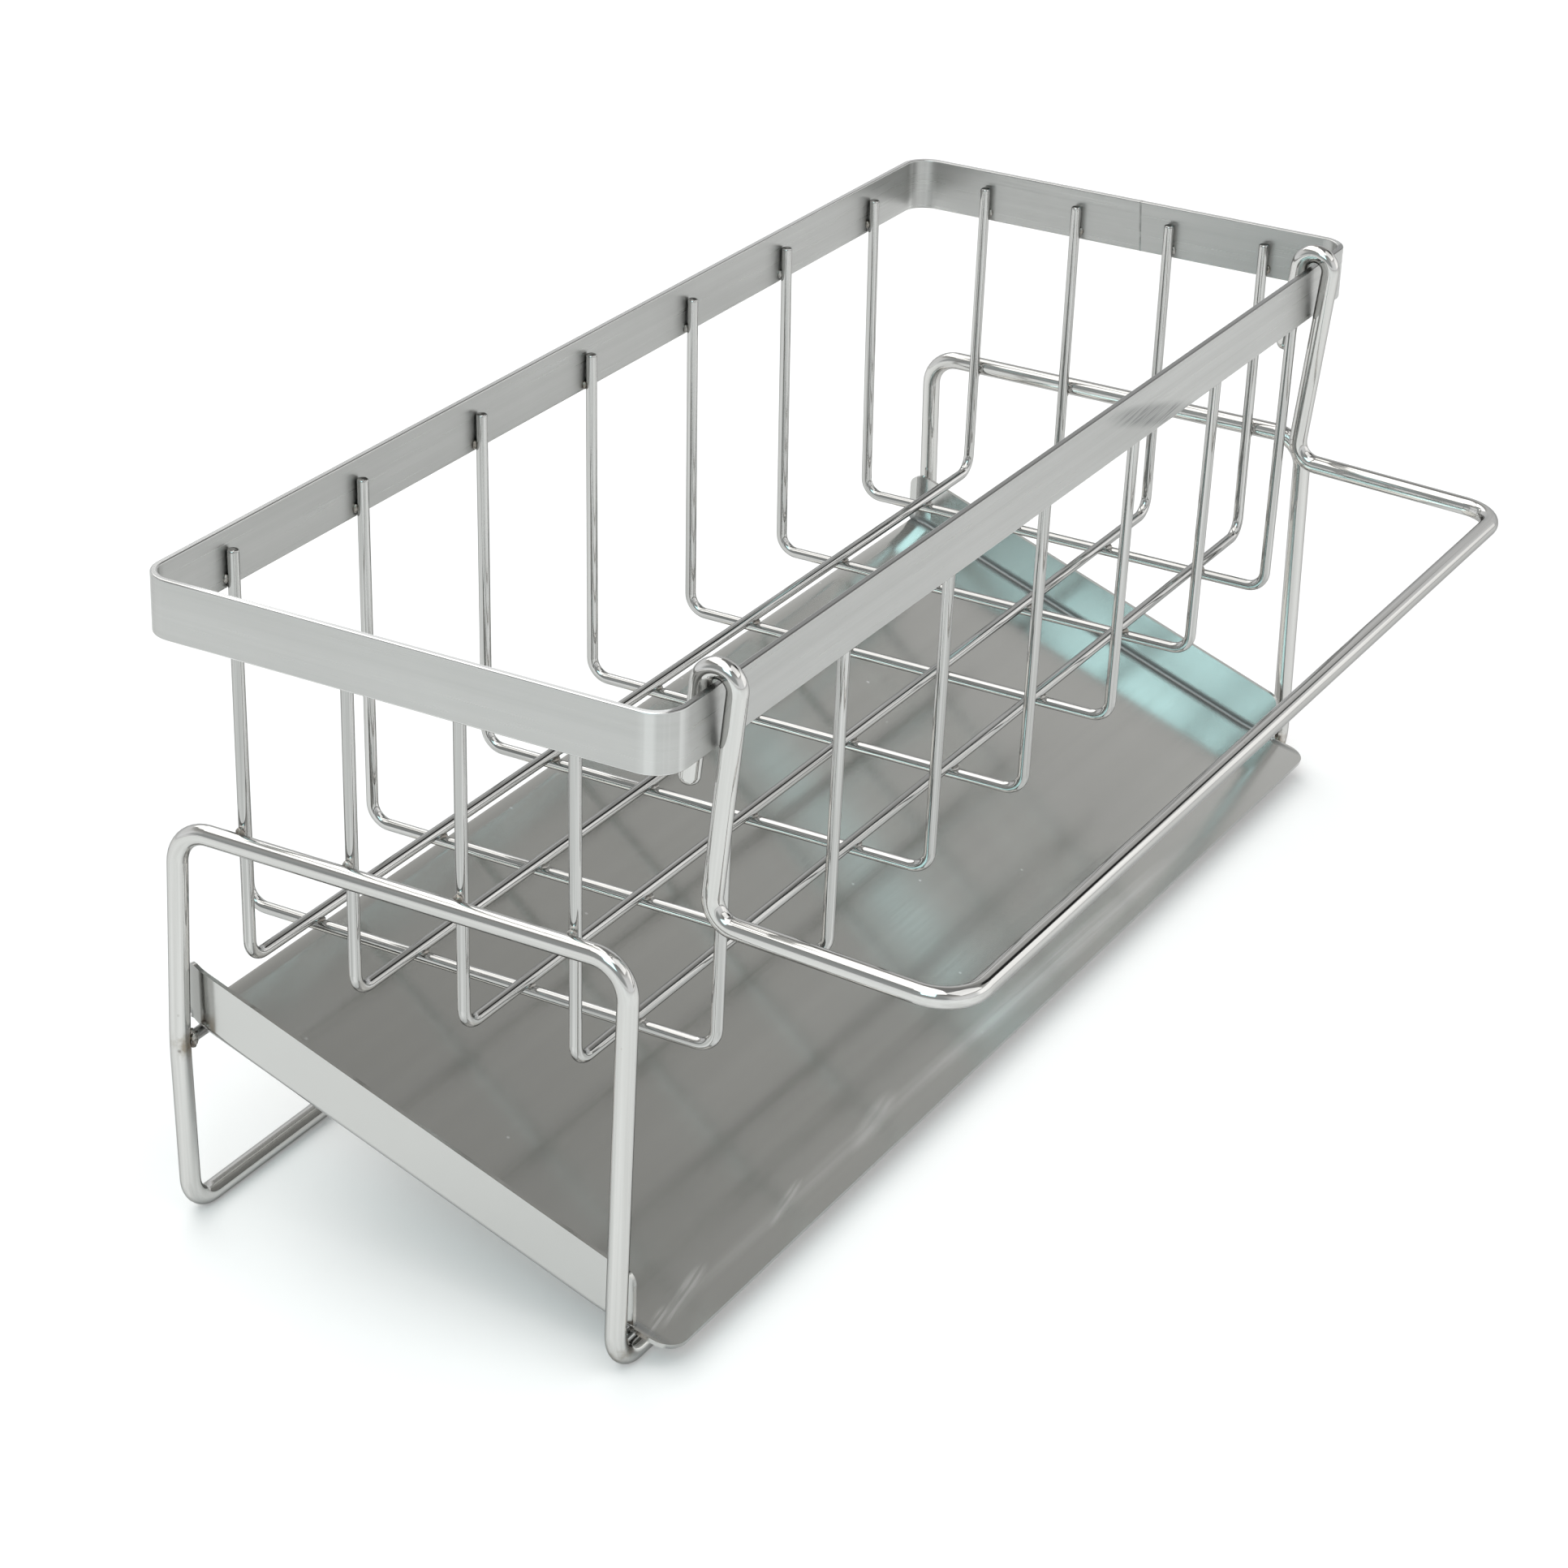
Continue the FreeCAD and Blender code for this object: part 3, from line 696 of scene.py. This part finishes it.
def weld_metal(name, clean, burnt, burnt_share):
    """Dull lumpy steel with burnt patches."""
    look, tree, steel, coords = start_steel(name)
    marks = place_group(tree, handling, coords, {"Cloud scale": 420.0})
    grain = put(tree, "ShaderNodeTexNoise", {"Vector": coords, "Scale": 2600.0, "Detail": 3.0}).outputs["Fac"]
    burnt_middle = 1 - burnt_share
    burning = spread(tree, marks["Clouds"], burnt_middle - burnt_fade, burnt_middle + burnt_fade, 0, 1)
    join(tree, mix_colour(tree, burning, clean, burnt), steel.inputs["Base Color"])
    join(tree, spread(tree, grain, noise_low, noise_high, weld_smooth, weld_rough), steel.inputs["Roughness"])
    bump_from(tree, grain, steel, depth=0.06 * MM, strength=0.4)
    return look


spot_weld_look = weld_metal("spot_weld", (0.47, 0.46, 0.44), (0.29, 0.265, 0.235), burnt_share=0.45)
rod_weld_look = weld_metal("burnt_weld", (0.38, 0.365, 0.34), (0.15, 0.13, 0.11), burnt_share=0.6)
seam_look = weld_metal("ground_weld", (0.42, 0.42, 0.41), (0.31, 0.31, 0.30), burnt_share=0.5)
print("finishes", spot_weld_look.name, rod_weld_look.name, seam_look.name)

# %% [markdown]
# The CAD pieces keep their shape and only get these finishes. Each has one material slot, named for what the piece is
# made of, so the slot's material is swapped for the new one.

# %% Dress the CAD pieces
finish_of = {"band": band_look, "wire": wire_look, "frame": frame_look, "rail": rail_look, "tray": tray_look}
for node in nodes.values():
    for slot in node.material_slots:
        slot.material = finish_of[slot.material.name]
print("dressed", len(nodes), "pieces")

# %% [markdown]
# A spot weld squeezes a little metal out between two wires. It could be sculpted, but there are many, and from a hand
# away each is just a lump: a ball that is flattened to fit the joint and then made uneven with noise. All lumps of
# one kind go into one mesh, which rides with the welded holder.

# %% Helper: weld lumps
lump_waves = 1.7


def add_lump(lumps, place, size, uneven=0.22, seed=0.0):
    """Add one uneven lump to a mesh. Place and size, half its extent each way, are in millimetres."""
    ball = bmesh.ops.create_icosphere(lumps, subdivisions=3, radius=1.0)
    half = Vector(size) * MM
    for vert in ball["verts"]:
        wave = noise.noise(vert.co * lump_waves + Vector((seed, seed * 0.7, -seed)))
        grown = vert.co * (1 + uneven * wave)
        vert.co = Vector(part * side for part, side in zip(grown, half)) + Vector(place) * MM


def finish_lumps(lumps, name, look):
    """Turn the lumps into one smooth piece of the welded holder."""
    mesh = bpy.data.meshes.new(name)
    lumps.to_mesh(mesh)
    lumps.free()
    mesh.shade_smooth()
    mesh.materials.append(look)
    piece = bpy.data.objects.new(name, mesh)
    scene.collection.objects.link(piece)
    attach(piece, "holder")
    print(name, len(mesh.vertices), "vertices")


print("lump helper ready")

# %% [markdown]
# The long wires run down inside the two arches and are welded to the arch bars. One nugget shows just above the bar,
# in the nip between bar and wire, and a smaller one sits just below it. Each joint has a seed, worked out from its
# place, that makes its lumps unlike the others and the same in every run.

# %% Welds on the arch bars
long_wire_places = (-30, -10, 10, 30)
arch_weld_x = 124.75
upper_nugget_z, upper_nugget_size = 72.0, (0.6, 0.75, 0.7)
lower_nugget_z, lower_nugget_size = 69.4, (0.5, 0.7, 0.5)
arch_weld_stray = 0.1

lumps = bmesh.new()
for side in (-1, 1):
    for y in long_wire_places:
        seed = side * 3.1 + y * 0.37
        add_lump(lumps, (side * arch_weld_x, y + arch_weld_stray * math.sin(seed), upper_nugget_z),
                 upper_nugget_size, seed=seed)
        add_lump(lumps, (side * arch_weld_x, y, lower_nugget_z), lower_nugget_size, seed=seed + 5)
finish_lumps(lumps, "arch_welds", spot_weld_look)

# %% [markdown]
# In the basket floor every long wire is spot welded to every cross wire. Only a thin collar of squeezed metal shows
# in the four corners of each crossing, so a flat lump in the middle of the crossing is enough: the wires hide the
# rest of it.

# %% Welds at the wire crossings
cross_wire_places = (-105, -70, -35, 0, 35, 70, 105)
crossing_z = 48.02
collar_radius, collar_half_height = 1.15, 0.42
collar_varies = 0.12

lumps = bmesh.new()
for x in cross_wire_places:
    for y in long_wire_places:
        seed = x * 0.11 + y * 0.53
        radius = collar_radius * (1 + collar_varies * math.sin(seed * 2.3))
        add_lump(lumps, (x, y, crossing_z), (radius, radius, collar_half_height), seed=seed)
finish_lumps(lumps, "crossing_welds", spot_weld_look)

# %% [markdown]
# The upper ends of the wires stand against the inside of the band, with a small nugget at each side of the wire near
# the band's lower edge. The nuggets sink a little into the band, as weld metal does.

# %% Welds inside the band
band_inside_x = 125.3
band_inside_y = 45.8
nugget_sunk = 0.2
nugget_z, nugget_stray = 103.4, 0.4
nugget_side = 0.85
nugget_wide, nugget_deep, nugget_high = 0.5, 0.4, 0.75

lumps = bmesh.new()
for side in (-1, 1):
    for x in cross_wire_places:
        for hand in (-1, 1):
            seed = x * 0.21 + side + hand * 2.7
            add_lump(lumps, (x + hand * nugget_side, side * (band_inside_y - nugget_sunk),
                             nugget_z + nugget_stray * math.sin(seed)),
                     (nugget_wide, nugget_deep, nugget_high), seed=seed)
    for y in long_wire_places:
        for hand in (-1, 1):
            seed = y * 0.31 + side * 1.3 + hand * 1.9
            add_lump(lumps, (side * (band_inside_x - nugget_sunk), y + hand * nugget_side,
                             nugget_z + nugget_stray * math.sin(seed)),
                     (nugget_deep, nugget_wide, nugget_high), seed=seed)
finish_lumps(lumps, "band_welds", spot_weld_look)

# %% [markdown]
# The two rods that carry the tray are welded to the legs by hand, with a lumpy bead round each end that is burnt
# darker than the other welds. A smooth ring would look machined, so the bead is a ring of lumps round the rod's axis.

# %% Welds at the rod ends
rod_ends = ((126.0, 40.4, 32.9), (126.4, -40.4, 4.5))
bead_radius, bead_varies = 1.0, 0.1
bead_stray = 0.15
bead_count = 7
bead_lump, bead_uneven = (0.75, 0.62, 0.62), 0.35

lumps = bmesh.new()
for x, y, z in rod_ends:
    for side in (-1, 1):
        for step in range(bead_count):
            angle = 2 * math.pi * step / bead_count + side
            seed = side * 7.7 + step * 1.9 + y
            reach = bead_radius * (1 + bead_varies * math.sin(seed))
            add_lump(lumps, (side * (x - bead_stray * math.cos(seed)), y + reach * math.cos(angle),
                             z + reach * math.sin(angle)), bead_lump, seed=seed, uneven=bead_uneven)
finish_lumps(lumps, "rod_welds", rod_weld_look)

# %% [markdown]
# Where the strip's two ends meet, on the far short side, the band has a butt weld that was ground almost flush. It is
# a thin collar round the strip: a loop that follows the strip's section, a hair larger than the strip, with a
# slightly wavy edge. First comes the section: four rounded corners, from which the straight sides follow.

# %% Section of the strip
strip_half_thickness = 0.6
strip_half_width = 5.0
section_corner = 0.3
corner_steps = 4


def strip_section(proud):
    """Section of the strip in X and Z, in millimetres about its middle, grown by a little."""
    corners = ((1, 1, 0), (-1, 1, 90), (-1, -1, 180), (1, -1, 270))
    for sign_x, sign_z, start in corners:
        for step in range(corner_steps + 1):
            angle = math.radians(start + 90 * step / corner_steps)
            yield (sign_x * (strip_half_thickness - section_corner) + (section_corner + proud) * math.cos(angle),
                   sign_z * (strip_half_width - section_corner) + (section_corner + proud) * math.sin(angle))


print("section with", len(list(strip_section(0))), "points")

# %% [markdown]
# The collar is five such sections in a row, proud in the middle and nearly flush at its sides, with faces between
# them. Noise makes its sides wavy, and it leans a little, because the ends weren't cut quite square.

# %% Butt weld of the band
seam_middle = Vector((125.9, -3.4, 107.0))
seam_half_width = 0.25
seam_stations = (-1.0, -0.6, 0.0, 0.6, 1.0)
seam_proud, seam_least_proud = 0.03, 0.004
seam_wavy = 0.12
seam_lean = 0.06

seam = bmesh.new()
rings = []
for station in seam_stations:
    proud = seam_proud * (1 - abs(station)) + seam_least_proud
    ring = []
    for x, z in strip_section(proud):
        wave = noise.noise(Vector((x * 0.8, station, z * 0.9))) * seam_wavy
        along = station * seam_half_width + wave + seam_lean * z
        ring.append(seam.verts.new((seam_middle + Vector((x, along, z))) * MM))
    rings.append(ring)
for ring, following in zip(rings, rings[1:]):
    for index in range(len(ring)):
        ahead = (index + 1) % len(ring)
        seam.faces.new((ring[index], ring[ahead], following[ahead], following[index]))
seam.normal_update()
finish_lumps(seam, "band_butt_weld", seam_look)
